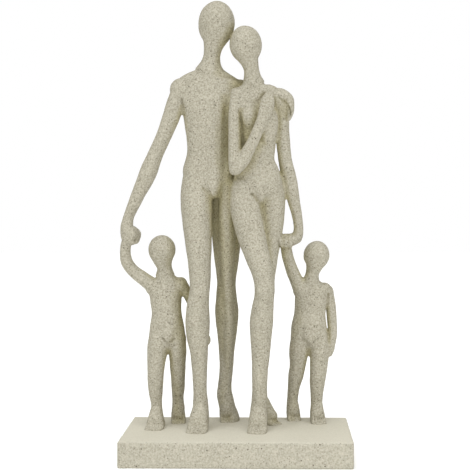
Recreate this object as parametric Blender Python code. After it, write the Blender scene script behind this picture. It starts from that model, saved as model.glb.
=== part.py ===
"""Family group on a plinth: two slender standing adults and two children, hand in hand, all without
faces. The four figures are one casting, whose soles are bedded on a separate rectangular plinth.

Metres, +Z up, +X to the viewer's right, +Y away from the viewer. The origin is the middle of the
plinth's underside.
"""

import math

import bmesh
import bpy
import numpy as np
from mathutils import Matrix, Vector

# Driving dimensions of the plinth and of the bed between it and the soles.
PLINTH_LENGTH = 0.168
PLINTH_DEPTH = 0.085
PLINTH_HEIGHT = 0.019
PLINTH_EDGE_ROUND = 0.0014
SOLE_BED = 0.0003

# The figures. Their height runs from the plinth's top to the crown of the tallest head. The pose is
# written in 320ths of it, which are millimetres at this height: x and y from the middle of the
# plinth, z from its top.
GROUP_HEIGHT = 0.320
SHARE = GROUP_HEIGHT / 320

# How the modelled limbs are fused into one skin.
SKIN_VOXEL = 0.0011
SKIN_SMOOTHING = 6
SKIN_FACETS = 8200
RING_SIDES = 20
RING_STEP = 2.0
LUMP_COLUMNS = 24
LUMP_ROWS = 14

STONE = (0.58, 0.54, 0.44)
STONE_ROUGHNESS = 0.9


def clear_scene():
    for old in list(bpy.data.objects):
        bpy.data.objects.remove(old, do_unlink=True)


def stone_material(name, colour):
    made = bpy.data.materials.new(name)
    made.use_nodes = True
    shader = made.node_tree.nodes["Principled BSDF"]
    shader.inputs["Base Color"].default_value = (*colour, 1.0)
    shader.inputs["Roughness"].default_value = STONE_ROUGHNESS
    return made


def mesh_from(bm, name):
    mesh = bpy.data.meshes.new(name)
    bmesh.ops.recalc_face_normals(bm, faces=bm.faces)
    bm.to_mesh(mesh)
    bm.free()
    return mesh


def place_object(mesh, name, material=None):
    made = bpy.data.objects.new(name, mesh)
    if material:
        made.data.materials.append(material)
    bpy.context.scene.collection.objects.link(made)
    return made


# Building blocks of a figure

# Angles of the rings that round off the end of a limb.
END_TURNS = (0.5, 1.0, 1.35)

# A foot: how far from heel to toe its heel, arch, ball and tip lie, and their half width and half
# thickness in shares of the half width across the toes. The sole's half thickness is in the same shares.
HEEL_AT, HEEL_WIDE, HEEL_THICK, HEEL_SOLE = 0.12, 0.62, 0.55, 0.66
ARCH_AT, ARCH_WIDE, ARCH_SOLE = 0.4, 0.72, 0.6
BALL_AT, BALL_WIDE, BALL_THICK, BALL_SOLE = 0.72, 0.96, 0.44, 0.38
TIP_AT, TIP_WIDE, TIP_THICK, TIP_SOLE = 0.95, 0.86, 0.26, 0.25
HEEL_RISE, BALL_RISE, TIP_RISE = 1.0, 1.2, 0.2
INSTEP_AT = 0.58
TAPER = 0.85


def through(stations):
    """Stations between the given ones, on a Catmull-Rom curve, about RING_STEP apart."""
    first = [2 * a - b for a, b in zip(stations[0], stations[1])]
    last = [2 * a - b for a, b in zip(stations[-1], stations[-2])]
    padded = [first, *stations, last]
    curve = []
    for i in range(1, len(padded) - 2):
        before, here, there, after = padded[i - 1:i + 3]
        steps = max(2, round(math.dist(here[:3], there[:3]) / RING_STEP))
        for k in range(steps):
            t = k / steps
            curve.append([
                0.5 * (2 * b + (c - a) * t + (2 * a - 5 * b + 4 * c - d) * t ** 2
                       + (3 * b - a - 3 * c + d) * t ** 3)
                for a, b, c, d in zip(before, here, there, after)
            ])
    curve.append(list(stations[-1]))
    return curve


def ring(bm, centre, wide, deep):
    """One oval ring round centre, whose half axes are the vectors wide and deep."""
    turns = (2 * math.pi * k / RING_SIDES for k in range(RING_SIDES))
    return [bm.verts.new((centre + wide * math.cos(a) + deep * math.sin(a)) * SHARE) for a in turns]


def limb(bm, *stations, upright=(0, 1, 0)):
    """A closed tube with round ends. A station is x, y, z, half width, half depth, and the depth is
    measured along the direction upright."""
    curve = through(stations)
    rings = []
    for i, (*place, width, depth) in enumerate(curve):
        along = Vector(curve[min(i + 1, len(curve) - 1)][:3]) - Vector(curve[max(i - 1, 0)][:3])
        along.normalize()
        deep = Vector(upright)
        deep = (deep - along * deep.dot(along)).normalized()
        wide = deep.cross(along)
        ends = []
        if i in (0, len(curve) - 1):
            outward = along if i else -along
            dome = min(width, depth)
            ends = [(math.cos(a), outward * dome * math.sin(a)) for a in END_TURNS]
        cuts = [(1.0, Vector((0, 0, 0))), *ends]
        if i == 0:
            cuts.reverse()
        for scale, shift in cuts:
            rings.append(ring(bm, Vector(place) + shift, wide * width * scale, deep * depth * scale))
    for one, two in zip(rings, rings[1:]):
        for k in range(RING_SIDES):
            after = (k + 1) % RING_SIDES
            bm.faces.new((one[k], one[after], two[after], two[k]))
    bm.faces.new(list(reversed(rings[0])))
    bm.faces.new(rings[-1])


def lump(bm, place, radii, lean=0.0, turn=0.0):
    """An ellipsoid. It leans in the picture plane by lean, clockwise, then turns about the upright."""
    spot = Matrix.Translation(Vector(place) * SHARE)
    spin = Matrix.Rotation(math.radians(turn), 4, "Z") @ Matrix.Rotation(math.radians(lean), 4, "Y")
    size = Matrix.Diagonal((*(Vector(radii) * SHARE), 1.0))
    bmesh.ops.create_uvsphere(bm, u_segments=LUMP_COLUMNS, v_segments=LUMP_ROWS, radius=1.0,
                              matrix=spot @ spin @ size)


def foot(bm, ankle, heel, toe, width):
    """A foot under the ankle (x, y, z, half width, half depth), from heel to toe, each (x, y) on the
    plinth. width is half the width across the toes. What is below the plinth's top is cut off later."""
    shin = Vector(ankle[:3])
    narrow, thick = ankle[3:]
    heel, toe = Vector((*heel, 0)), Vector((*toe, 0))
    back, arch, ball, tip = (heel.lerp(toe, share) for share in (HEEL_AT, ARCH_AT, BALL_AT, TIP_AT))
    instep = shin.lerp(ball, INSTEP_AT)
    instep.z = shin.z / 2
    ahead = (toe - heel).normalized()
    # From the shin over the instep to the toes.
    limb(bm, (*shin, narrow, thick), (*instep, (narrow + width) / 2, thick * TAPER),
         (ball.x, ball.y, BALL_RISE, BALL_WIDE * width, BALL_THICK * width),
         (tip.x, tip.y, TIP_RISE, TIP_WIDE * width, TIP_THICK * width), upright=(ahead.x, ahead.y, 1))
    # From the shin down to the heel.
    limb(bm, (*shin, narrow, thick * TAPER), (*shin.lerp(back, 0.5), narrow, thick * TAPER),
         (back.x, back.y, HEEL_RISE, HEEL_WIDE * width, HEEL_THICK * width),
         upright=(ahead.x, ahead.y, 0))
    # The sole.
    limb(bm, (*back, HEEL_WIDE * width, HEEL_SOLE * width), (*arch, ARCH_WIDE * width, ARCH_SOLE * width),
         (*ball, BALL_WIDE * width, BALL_SOLE * width), (*tip, TIP_WIDE * width, TIP_SOLE * width),
         upright=(0, 0, 1))


# The four figures

def man(bm):
    # Head, which leans towards the woman's, and the neck.
    lump(bm, (-16.1, 9, 302.8), (13.9, 15.2, 17.2), lean=4)
    limb(bm, (-16.1, 9, 302.5, 13.7, 15), (-16.3, 9, 298, 13.1, 14.5),
         (-17.1, 9.1, 292.6, 10.5, 12.6), (-18.1, 9.4, 288.2, 8.2, 10.4), (-19, 10, 284, 6.9, 8.8),
         (-19.8, 11, 279, 6.5, 7.8), (-20.5, 11.5, 274.4, 7.6, 8.4), (-21.4, 12, 268.6, 11.2, 9))
    # Shoulder girdle, chest, waist and pelvis.
    limb(bm, (-21.5, 13, 268, 11.2, 6.6), (-21.8, 12.8, 264.3, 18.8, 7.4), (-22, 12, 260.6, 23.8, 9.6),
         (-22, 12, 256, 26, 10.4), (-22, 11.5, 247, 23.3, 12.2), (-22.4, 11.5, 236, 19.8, 12.4),
         (-22.6, 12, 226, 17.7, 11.3), (-22.2, 12.5, 209, 16.6, 10), (-22.6, 12.5, 195, 19.2, 10.8),
         (-23.6, 12.8, 188.5, 19, 11))
    limb(bm, (-15, 11.5, 267.2, 4, 5), (-7, 12, 261.4, 4.2, 5.2), (2, 13.5, 256, 4.5, 5.5))
    for side in (-1, 1):
        lump(bm, (-22 + side * 9.8, 5.3, 246.5), (11.2, 4.6, 10), lean=side * 12)
        lump(bm, (-21 + side * 11, 19.6, 247), (9.5, 4.2, 13), lean=-side * 10)
    lump(bm, (-31, 19.2, 177.5), (11.4, 8, 13.5))
    lump(bm, (-9.6, 22.2, 179), (11.8, 8.4, 16), lean=-6)
    limb(bm, (-20.4, 4.2, 260.6, 1.6, 1.6), (-34, 4.8, 261.4, 1.7, 1.7), (-46, 9.6, 259.4, 1.8, 1.8))
    limb(bm, (-20.4, 4.2, 260.6, 1.6, 1.6), (-8, 5, 260.4, 1.7, 1.7), (2, 9.6, 257.8, 1.8, 1.8))
    # Lower belly, a wedge that runs down between the thighs.
    limb(bm, (-20, 12.5, 200, 14, 9.6), (-19.8, 12.2, 192, 13, 10.9), (-19.2, 12, 185.4, 10.2, 12),
         (-18.4, 12, 180, 7.2, 12), (-17.9, 12.4, 176.2, 3.8, 11))
    # Right leg, stepping forward, and its foot.
    limb(bm, (-29.8, 12, 194, 11, 10), (-31, 12, 184, 11.8, 11.2), (-31.6, 11.5, 174, 12.2, 13),
         (-31.1, 10, 162, 12, 13),
         (-29.9, 7.5, 141.5, 10.4, 11.8), (-28.8, 5, 122.5, 8.7, 10), (-28.3, 3.5, 109, 7.9, 9),
         (-28.9, 3.2, 101, 7.8, 8.4), (-30.1, 5, 91, 8.6, 9.2), (-30.5, 6.5, 79, 9.4, 10.2),
         (-30.3, 6.5, 68, 8.6, 9.4), (-29.4, 5.5, 56.5, 6.8, 7.6), (-28.9, 4.5, 42, 5.8, 6.4),
         (-28.5, 4, 27, 5.3, 6.2), (-28.1, 3.6, 17, 6, 6.8), (-28.3, 3, 9, 6.6, 7.4))
    lump(bm, (-28.4, -2.2, 105), (6.4, 3.4, 9))
    foot(bm, (-28.1, 3.4, 15, 6.1, 6.8), (-27.3, 11.5), (-30.8, -17), 8.6)
    # Left leg, behind, on a foot turned outward.
    limb(bm, (-12, 15.4, 200, 10, 7.4), (-10, 19.4, 190, 11.4, 8), (-9.6, 22.4, 181, 11.8, 8.4),
         (-9.8, 24.4, 171, 12, 8.6), (-9.9, 25.6, 155, 12, 8.6),
         (-9.7, 26, 142, 11.3, 8.8), (-9.6, 25.2, 124, 9.4, 9), (-9.7, 23.8, 109, 7.4, 8.4),
         (-9.9, 23.6, 101, 7.8, 8.2), (-9.6, 26.6, 86, 9.2, 9.4), (-9.6, 29, 74, 8.5, 9),
         (-9.9, 30.4, 58.5, 6.6, 7.4), (-10.2, 31, 42.5, 5.5, 6), (-11.4, 31.5, 28, 5.4, 6.2),
         (-11.7, 31.4, 20, 6.2, 6.8), (-10.4, 31, 14, 6.4, 7), (-9.2, 30.5, 9, 6.4, 7.4))
    limb(bm, (-7.4, 15.5, 182, 7.4, 9), (-8, 15.6, 170, 7.4, 9), (-8.6, 16.4, 154, 7, 8.6),
         (-8.8, 17.6, 138, 6.3, 7.8), (-8.9, 18.2, 120, 5.4, 7.4), (-8.8, 19, 106, 4.8, 7),
         (-8, 21, 92, 4.6, 7), (-7.6, 23.4, 76, 4.4, 7), (-8.2, 26, 60, 4, 6.6),
         (-9, 28.4, 44, 3.4, 5.6))
    lump(bm, (-9.7, 17.6, 104), (6, 3.4, 8.5))
    foot(bm, (-10, 31, 14.5, 5.8, 7), (-10.4, 38), (-8.7, 20.6), 6.2)
    limb(bm, (-10, 31, 19, 3.2, 6), (-7.7, 32, 11, 3.9, 7.2), (-5.6, 31.5, 4.6, 4.9, 8),
         (-5, 30.6, 0.6, 5.4, 8.6))
    # Right arm, out and down to the child's hand.
    lump(bm, (-43.3, 12, 254.2), (8.3, 9, 9), lean=20)
    limb(bm, (-44, 12, 252, 7.1, 8.4), (-47.4, 12, 243, 7, 8), (-51.4, 12, 231.5, 6.6, 7.4),
         (-57.3, 12, 217, 5.8, 6.8), (-63.3, 12, 204, 6, 6.4), (-67, 12, 194.5, 6.7, 6.6),
         (-71, 12, 185, 6.4, 6.2), (-75.5, 11.5, 176, 5.4, 5.4), (-79.5, 11, 166.5, 4.7, 4.7),
         (-82.8, 11, 158.5, 4.2, 4.4), (-84.2, 10.4, 151.5, 4.9, 5.2), (-83.6, 9.6, 146.5, 5.6, 6.4))
    lump(bm, (-81.6, 9, 144.4), (7.2, 7.4, 7.6), lean=-25)
    limb(bm, (-80.6, 14, 149.2, 2.8, 3), (-76.2, 12.6, 145.8, 2.8, 3.2), (-77.4, 10.4, 140.6, 2.7, 3))
    limb(bm, (-86, 7.6, 151.4, 2.4, 2.4), (-83.6, 3.2, 147.6, 2.4, 2.3), (-79.6, 3.6, 142.4, 2.2, 2.2))
    # Left arm, round the woman's back, with the hand over her far shoulder.
    lump(bm, (1, 15, 253.4), (8.6, 9, 9))
    limb(bm, (1.5, 15.5, 252, 7.4, 8), (9, 20, 246, 6.6, 6.6), (18, 22.5, 240.5, 6, 6),
         (27, 20.5, 241.4, 5.4, 5.2), (34, 15.6, 244.6, 4.8, 4.8), (36.6, 11, 246.4, 5, 5.4))
    limb(bm, (23.6, 9.6, 250.8, 4, 4.8), (28.2, 8.4, 250.8, 4.4, 5.4), (33.2, 6.8, 249.6, 4.6, 6.6),
         (37.3, 5, 246.2, 4.5, 7.2), (39, 3.6, 240.8, 3.3, 5.8), (39, 3, 236, 2.8, 4.6),
         (37.8, 3.4, 231.6, 1.8, 3.6))


def woman(bm):
    # Head, which leans towards the man's, and the long neck.
    lump(bm, (6, 2, 286.2), (12.2, 13.4, 14.2), lean=-10)
    limb(bm, (6, 2, 286.6, 12, 13.2), (6.4, 2, 282.4, 10.9, 12.2), (7.3, 2.2, 278.4, 9, 10.6),
         (8.8, 2.5, 274, 6.9, 8.5), (10.2, 3.2, 268.5, 5.8, 6.7), (10.9, 3.8, 263, 6.6, 6.8),
         (11.6, 4, 258.5, 8.6, 7))
    # Shoulders, rib cage, waist and pelvis.
    limb(bm, (12.6, 4, 255, 7, 4.6), (13.4, 4, 252.4, 15.6, 6), (13.8, 4.2, 248, 18, 7.2),
         (14, 4.6, 239.5, 16.4, 8), (13.2, 5, 224, 16.6, 7.8), (12.4, 5.2, 210, 15.8, 7.6),
         (12.6, 5.2, 199.5, 15, 8), (14.2, 5.4, 190, 17.4, 9.2), (14.8, 5.6, 181, 19.2, 10.4))
    limb(bm, (9, 3.6, 255.6, 3.4, 4.8), (4, 2.4, 252.2, 4.4, 5.6), (-0.8, 0.6, 247.4, 5.2, 6.2))
    limb(bm, (-1.6, -0.6, 246, 4.6, 5.2), (5, -0.4, 245.6, 4.6, 5.2), (11, 0.4, 245.6, 4.6, 5.2))
    limb(bm, (-2, -1.2, 240.6, 3.8, 5.6), (4.4, -0.8, 240.8, 3.6, 5.2), (10, 0, 241, 3.6, 4.8))
    lump(bm, (3, 0.4, 244), (6.6, 5.2, 9.6), lean=10)
    lump(bm, (8.8, -0.9, 233), (7, 5, 10), lean=-6)
    lump(bm, (22.7, -1.1, 227), (7.6, 5.8, 15), lean=4)
    for side in (-1, 1):
        lump(bm, (14.4 + side * 7.5, 10, 242), (7, 3.2, 11), lean=-side * 10)
    lump(bm, (5.2, 11.6, 176), (10.2, 8, 12))
    lump(bm, (23.9, 13.6, 178), (10.6, 8.4, 15), lean=6)
    # Lower belly, a wedge that runs down between the thighs.
    limb(bm, (14.6, 4.6, 197, 11, 8.2), (15.4, 4.4, 190, 12, 9), (16.8, 4.2, 183, 11, 9.9),
         (17, 4.1, 177.4, 7.4, 10.3), (16.9, 4.6, 172.6, 3.4, 9.2))
    # Right leg, which steps forward across the left one, and its foot.
    limb(bm, (5.6, 4.4, 180, 11, 10.4), (5.2, 3.6, 169, 11.6, 12), (7.2, 2.2, 158, 11.6, 12),
         (10.3, 0, 144.5, 10.8, 11), (14.3, -2.4, 131, 9.5, 9.8), (18.2, -3.8, 118, 8.1, 8.8),
         (19.9, -4.2, 108, 7.5, 8.2), (19.7, -3.6, 99.5, 7.5, 7.8), (18.5, -1.6, 89, 8.5, 8.8),
         (17.6, 0, 79, 8.9, 9.4), (17.2, 0.8, 66, 7.8, 8.4), (16.8, 0.8, 51, 6.6, 7),
         (16.4, 0.8, 35.5, 5.9, 6.2), (16.2, 1.2, 24, 5.9, 6.4), (15.8, 1.4, 15, 6.4, 7),
         (15.4, 1, 8, 6.6, 7.4))
    limb(bm, (11.4, 0.6, 171, 4.6, 7.2), (13.2, -0.4, 158, 4.6, 7), (16, -2, 145, 4.4, 6.6),
         (18.8, -3.4, 131, 4.2, 6), (20.8, -4.4, 118, 3.8, 5.4))
    lump(bm, (19.6, -9, 104.5), (6, 3.4, 8.6))
    foot(bm, (15.9, 1.2, 15, 6.3, 6.8), (17, 9), (13.8, -17), 7.9)
    # Left leg, behind, on a foot turned outward.
    limb(bm, (20.6, 7.4, 194, 9, 8), (23.4, 9.2, 184, 10.2, 9.2), (24.8, 11.6, 174, 10.8, 10.2),
         (24.6, 13.6, 158, 10.3, 10),
         (23.4, 14.8, 142, 9.2, 9.4), (21.8, 15, 126, 7.9, 8.8), (20.4, 14.4, 111, 7.4, 8),
         (20.3, 14, 102, 7.4, 7.6), (19.8, 16, 89, 6.8, 8.2), (19.4, 17.6, 77, 6.6, 8.2),
         (19, 19.5, 58, 5.4, 6.6), (18.2, 21.5, 40, 4.2, 5.4), (17.4, 22.5, 24, 4.4, 5.6),
         (17.8, 22.4, 14, 5, 6.2), (18.6, 21.6, 8, 5.2, 6.4))
    foot(bm, (18, 21.8, 15.4, 5.2, 6.2), (13.2, 27.6), (30.6, 13), 6.4)
    limb(bm, (19, 21.6, 17, 4, 5), (22.4, 20, 11, 3.8, 4.6), (26, 17.6, 6, 4, 4.4))
    # Right arm, folded up across the breast, with the hand flat on the left shoulder.
    lump(bm, (-0.8, 0.6, 248), (6.1, 6.6, 6.8))
    limb(bm, (-1.4, -0.4, 247, 5.7, 6), (-2.7, -1.6, 238, 5.4, 5.6), (-2.9, -2.8, 227, 5.4, 5.5),
         (-2.5, -3.8, 212, 5.5, 5.5), (-2.2, -4.8, 200, 5.6, 5.5), (-1.4, -5.4, 194.4, 5.5, 5.4))
    limb(bm, (-1, -5.8, 194, 5, 5.2), (4.1, -7.2, 200, 5.2, 5), (7.7, -8, 206.4, 4.8, 4.8),
         (12, -8.6, 214.9, 4.4, 4.6), (16, -8.8, 223.8, 4.4, 4.4), (19.2, -8.4, 231.6, 4.8, 4.2),
         (21.4, -7.8, 238.2, 5.6, 3.8), (22.4, -6.6, 243.8, 5.4, 3.4), (23.4, -5, 248.2, 3.6, 2.8))
    # Left arm, down to the other child's hand.
    lump(bm, (30.6, 4.6, 245), (6.4, 6.6, 7.2))
    limb(bm, (32.4, 6, 243, 5.8, 6), (33.4, 8, 231.5, 5, 5.6), (33.6, 9.6, 217, 5.4, 5.4),
         (35.2, 11, 202, 5.3, 5.3), (37.8, 12, 190, 5.8, 5.3), (39.5, 12.8, 182.5, 5.6, 5.2),
         (41.2, 13.8, 173.5, 5.1, 5), (44, 15.4, 161.7, 4.2, 4.5), (45.2, 16.8, 154.5, 3.9, 4.2),
         (45.6, 17.5, 148.5, 4, 4.2), (44.8, 18, 144.2, 4.4, 4.8))
    limb(bm, (44, 18, 142.2, 4.4, 5.2), (39, 18, 140.8, 5.2, 6), (34.4, 18, 140.4, 5.2, 5.4))
    for k in range(3):
        limb(bm, (32 + 3.5 * k, 14, 144, 1.9, 1.9), (31.8 + 3.5 * k, 11.6, 140.2, 2, 1.9),
             (32.2 + 3.5 * k, 12.8, 136.2, 1.8, 1.8))


def left_child(bm):
    # Round head on a short neck.
    lump(bm, (-58.2, 15, 133.4), (10.5, 11.2, 11.4))
    limb(bm, (-58.2, 15, 133, 10.3, 11), (-58, 15, 129.4, 9.5, 10.2), (-57.4, 15.3, 124.8, 7.5, 8.3),
         (-56.4, 16, 119.5, 5.6, 6.2), (-56, 16, 114.6, 7.4, 6.2))
    # Trunk.
    limb(bm, (-55.8, 16, 113.5, 6.4, 5), (-55.4, 16, 109.5, 12, 6.2), (-55.9, 16, 104, 13.2, 7.4),
         (-55.5, 16, 96, 12.3, 8.4), (-54.9, 16, 86, 11.6, 8.2), (-54.7, 15.8, 75, 13.2, 8.6),
         (-54.5, 16, 65, 14.4, 9))
    lump(bm, (-54.4, 12.6, 78), (10.6, 6, 12.5))
    for side in (-1, 1):
        lump(bm, (-54.4 + side * 6.4, 20.8, 61.5), (7.2, 6, 8.4))
    limb(bm, (-54, 15.6, 76, 9, 8), (-53.6, 15, 70, 8.4, 8.9), (-53.2, 14.8, 66, 6, 9.1),
         (-52.9, 15, 62.6, 3, 8.2))
    # Legs and feet.
    limb(bm, (-61.2, 15.6, 66, 7.6, 8.4), (-61.8, 14.6, 57, 8.1, 8.6), (-62.6, 12.6, 46, 6.9, 7.6),
         (-62.9, 10.8, 35, 6.2, 6.6), (-62.7, 10.4, 25, 5.3, 6.2), (-62.1, 10.2, 16.5, 4.3, 5.2),
         (-61.8, 9.4, 9, 4.8, 5.6))
    foot(bm, (-62, 9.8, 13, 4.4, 5.4), (-59.8, 15), (-63.4, -6.8), 7.6)
    limb(bm, (-47.4, 17, 66, 7.4, 8.4), (-46.9, 18, 56, 7, 8.4), (-47, 20, 45, 6.2, 7.4),
         (-46.9, 21.4, 35, 5.6, 6.6), (-47.1, 23.6, 26.5, 5.3, 6), (-47.4, 25.4, 18, 4.5, 5),
         (-47, 25.4, 10, 5.2, 5.8))
    foot(bm, (-47.1, 25.4, 13, 4.8, 5.4), (-47.4, 31.5), (-46.3, 16.2), 6.2)
    # Right arm, raised into the man's fist.
    lump(bm, (-64.8, 15.6, 104.8), (6.6, 6.2, 6.8))
    limb(bm, (-65, 15.4, 105.8, 6, 5.6), (-73, 14.6, 111.8, 5.3, 4.7), (-79.4, 13.4, 117, 4.9, 4.4),
         (-84, 12.3, 123.2, 4.7, 4.2), (-85.6, 11.5, 130, 4.3, 4), (-85.2, 10.8, 136.5, 4.1, 4),
         (-83.6, 10.4, 142, 4, 4.4))
    # Left arm, behind the man's knee.
    lump(bm, (-44.2, 17, 106.4), (5.4, 6, 6.4))
    limb(bm, (-42.6, 17.4, 105.4, 4.6, 5.2), (-39.2, 18.6, 99.6, 4.1, 4.8), (-36, 19.8, 93, 3.9, 4.4),
         (-32.6, 20.6, 83, 3.7, 4), (-29, 20.2, 73, 3.4, 3.6), (-24.8, 17.6, 66, 2.8, 3.6))
    lump(bm, (-23.8, 15.8, 64.6), (2.6, 3.6, 4.2))


def right_child(bm):
    # Round head, tipped away from the woman, on a short neck.
    lump(bm, (59.6, 27, 128.8), (10.2, 11, 11.2), lean=10)
    limb(bm, (59.5, 27, 128.4, 10, 10.8), (58.9, 27, 124.6, 8.8, 10), (57.7, 27.4, 119.8, 6.6, 8),
         (56.4, 28, 114.6, 5.3, 6), (55.6, 28, 109.6, 6.4, 6))
    # Trunk.
    limb(bm, (55.4, 28, 109, 6, 5), (55.6, 28, 105, 11.4, 6.2), (55.6, 28, 99, 12.6, 7.2),
         (55.1, 28, 92, 12.4, 8.2), (54.6, 28, 83, 12.4, 8), (54, 27.8, 73.5, 14, 8.4),
         (54, 28, 64.5, 14.6, 8.8))
    lump(bm, (54.8, 24.6, 76), (10.6, 6, 12.5))
    for side in (-1, 1):
        lump(bm, (54 + side * 6.6, 32.4, 61), (7.2, 5.8, 8.2))
    limb(bm, (54.4, 27.6, 75, 9, 7.8), (54.4, 27, 68.5, 8.4, 8.7), (54.4, 26.8, 64, 6, 9),
         (54.4, 27, 60.4, 3, 8.2))
    # Legs and feet.
    limb(bm, (47.2, 28.4, 64, 7.6, 8.2), (46.2, 28.8, 54.5, 7.8, 8.2), (45.2, 30, 43.5, 6.4, 7.2),
         (43.6, 31.2, 34, 6, 6.4), (42.2, 33, 25.5, 4.7, 5.8), (41.2, 34, 15, 4.4, 5),
         (41.4, 33.6, 9, 5, 5.6))
    foot(bm, (41.3, 33.8, 13, 4.5, 5.2), (39.8, 39.4), (43.6, 26.6), 5.9)
    limb(bm, (61, 28, 64, 7.4, 8.2), (61.8, 27.4, 54, 7.6, 8.2), (61.5, 26.4, 44, 7, 7.4),
         (60.6, 25.6, 34, 6.3, 6.6), (60, 26, 24.5, 5.4, 6.2), (59.8, 26.4, 15, 4.6, 5.2),
         (60, 26, 9, 5, 5.8))
    foot(bm, (59.9, 26.2, 13, 4.7, 5.4), (58.2, 32), (62.2, 16.6), 6.4)
    # Right arm, raised into the woman's hand.
    lump(bm, (47.2, 27.6, 102), (6, 6.2, 6.8))
    limb(bm, (46.9, 27.4, 103, 5.8, 5.6), (43.9, 26.6, 110, 5.3, 5), (40.6, 25, 117.6, 4.9, 4.7),
         (37.9, 22.6, 126, 4.6, 4.4), (36.2, 20, 134, 4.4, 4.4), (36, 18.6, 139, 4.4, 4.4))
    # Left arm, hanging at the side.
    lump(bm, (66, 28.4, 101.4), (5.6, 6, 6.4))
    limb(bm, (68.4, 30.4, 101, 4.6, 5), (70.6, 32.4, 91, 4.1, 4.6), (71.6, 32.6, 80, 4, 4.4),
         (72.4, 31, 69, 3.7, 4), (71.8, 29, 61.4, 3.1, 3.6), (70.9, 27.6, 56, 2.8, 4),
         (70, 26.4, 52.4, 2, 2.8))


# Creases of the groins, armpits, hands and backs, and the hollow of the man's side by the woman's arm:
# how far each reaches to both sides, how deep it is, and the places it runs through, all in the same
# shares as the pose.
CREASES = (
    (1.2, 2.2, (-25.8, 1, 180.2), (-22.4, 0, 177.3), (-19, 1, 173), (-16.8, 0, 173.4),
     (-13.6, 0, 175.7), (-10.9, 1, 179.5), (-9, 2, 183.2), (-8.2, 3, 187)),
    (1.6, 2.0, (-18, 4, 172.6), (-18.4, 8, 160), (-18.2, 10, 146)),
    (1.2, 2.2, (10.6, -5, 175.8), (13, -6, 174), (15, -5, 170.6), (16.6, -5, 168.4), (18, -5, 169),
     (20.2, -5, 171.4), (22.6, -5, 173.8), (24.8, -4, 176.6)),
    (1.5, 2.0, (17.4, -1, 168), (19, 1, 158), (21.4, 1, 147), (23.4, 2, 136), (25.4, 3, 126)),
    (1.1, 1.6, (-57.2, 7, 66.8), (-55.4, 6, 64.8), (-52.8, 6, 62.2), (-50, 7, 64.4), (-48.4, 8, 66.4)),
    (1.1, 1.6, (48.4, 19, 65.4), (51.4, 18, 62.6), (54.4, 18, 59.8), (57.8, 18, 62.4), (61, 19, 65.4)),
    (1.1, 3.0, (27.8, -3, 253.2), (29.3, -3, 251), (29.5, -3, 248.8), (31.6, -3, 246.2),
     (34.6, -2, 243.8), (37.1, -2, 240.8), (39, -1, 237.4), (39.4, 0, 234)),
    (1.2, 1.8, (15.6, -5, 244), (17.6, -4, 247.4), (20, -3, 250)),
    (1.4, 2.8, (2.0, -3, 235.4), (2.7, -3, 229), (3.6, -2, 219), (4.3, -1, 211)),
    (1.3, 2.0, (-41.8, 4, 246), (-41, 5, 240), (-40.8, 7, 234.6)),
    (1.1, 1.8, (-79.4, 4, 151.6), (-76.4, 5, 148.4), (-75.4, 5, 144.4), (-77, 5, 140.4)),
    (1.1, 2.0, (-87.4, 3, 140.6), (-85, 3, 138.4), (-81.6, 4, 136.8)),
    (1.1, 2.0, (30.3, 13, 145.4), (30.1, 11, 140.6), (30.8, 12, 136.4), (32.8, 13, 133.6)),
    (1.3, 2.6, (69, 24, 99), (67.6, 25, 88), (67.9, 25, 75), (69.3, 25, 65)),
    (5.5, 2.2, (-8, 2, 248), (-8.2, 2, 226), (-8.4, 2, 206), (-9, 2, 194)),
    (3.2, 1.4, (-21, 24, 256), (-20.4, 25, 236), (-20.4, 24, 210), (-20, 24, 192)),
    (2.6, 1.2, (14.4, 11, 250), (14.4, 13, 232), (14, 13, 210), (14.4, 15, 190)),
    (2.2, 1.6, (-20, 26, 186), (-19.8, 27, 176), (-19.6, 26, 166)),
    (2.0, 1.4, (14.6, 19, 184), (14.6, 20, 176), (14.8, 19, 167)),
    (1.5, 0.9, (-54.4, 26, 67), (-54.4, 27, 61), (-54.2, 26, 55)),
    (1.5, 0.9, (54, 37, 66), (54, 38, 61), (54, 37, 55)),
)


# How much each axis counts in the distance from a crease, and how steeply its sides fall.
NEARNESS = np.array((1.0, 0.3, 1.0))
CREASE_FALL = 1.5


def press(mesh, reach, depth, *path):
    """A groove along path, pressed into the skin. The path's y only has to be near the skin's."""
    count = len(mesh.vertices)
    spots = np.empty(count * 3)
    mesh.vertices.foreach_get("co", spots)
    spots = spots.reshape(count, 3)
    normals = np.empty(count * 3)
    mesh.vertex_normals.foreach_get("vector", normals)
    normals = normals.reshape(count, 3)
    away = np.full(count, np.inf)
    for start, end in zip(path, path[1:]):
        start = np.array(start) * NEARNESS
        run = np.array(end) * NEARNESS - start
        offset = spots / SHARE * NEARNESS - start
        share = np.clip(offset @ run / (run @ run), 0, 1)
        away = np.minimum(away, np.linalg.norm(offset - share[:, None] * run, axis=1))
    sink = np.clip(1 - away / reach, 0, 1) ** CREASE_FALL * depth * SHARE
    spots = spots - normals * sink[:, None]
    mesh.vertices.foreach_set("co", spots.reshape(-1))
    mesh.update()


def fused(bm):
    """The overlapping limbs of bm as one even skin."""
    rough = place_object(mesh_from(bm, "limbs"), "limbs")
    fuse = rough.modifiers.new("fuse", "REMESH")
    fuse.mode = "VOXEL"
    fuse.voxel_size = SKIN_VOXEL
    ease = rough.modifiers.new("ease", "SMOOTH")
    ease.factor = 0.5
    ease.iterations = SKIN_SMOOTHING
    bpy.context.view_layer.update()
    skin = bpy.data.meshes.new_from_object(rough.evaluated_get(bpy.context.evaluated_depsgraph_get()))
    bpy.data.objects.remove(rough, do_unlink=True)
    return skin


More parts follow.
